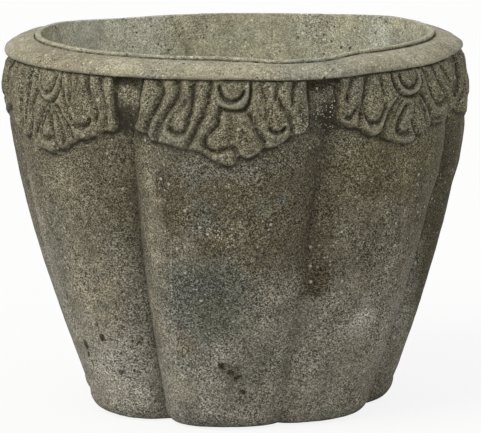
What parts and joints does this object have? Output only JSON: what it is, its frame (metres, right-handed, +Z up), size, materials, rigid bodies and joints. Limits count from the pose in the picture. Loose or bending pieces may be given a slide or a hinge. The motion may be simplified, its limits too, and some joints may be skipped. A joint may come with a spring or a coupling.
{
  "type": "stone planter",
  "caption": "Round stone planter with a lobed tapering body, a moulded coping ring, a lining with a raised lip, and an acanthus leaf under the ring on each lobe.",
  "frame": {"origin": "middle of the foot, on the ground", "axes": "+Z up along the pot's axis; the crown of the front lobe faces -Y at the rim"},
  "size_m": [0.5757, 0.5715, 0.46],
  "materials": {
    "body_stone": "weathered, coarse sandy grain, grey-brown",
    "rim_stone": "weathered, worn smooth, pale buff grey",
    "lining_stone": "rough, green-grey",
    "leaf_stone": "weathered, coarse sandy grain, dark in the grooves"
  },
  "bodies": {
    "root": {"body": "body_stone", "rim_band": "rim_stone", "inner_lining": "lining_stone", "leaf_1": "leaf_stone", "leaf_2": "leaf_stone", "leaf_3": "leaf_stone", "leaf_4": "leaf_stone", "leaf_5": "leaf_stone", "leaf_6": "leaf_stone", "leaf_7": "leaf_stone"}
  },
  "joints": []
}
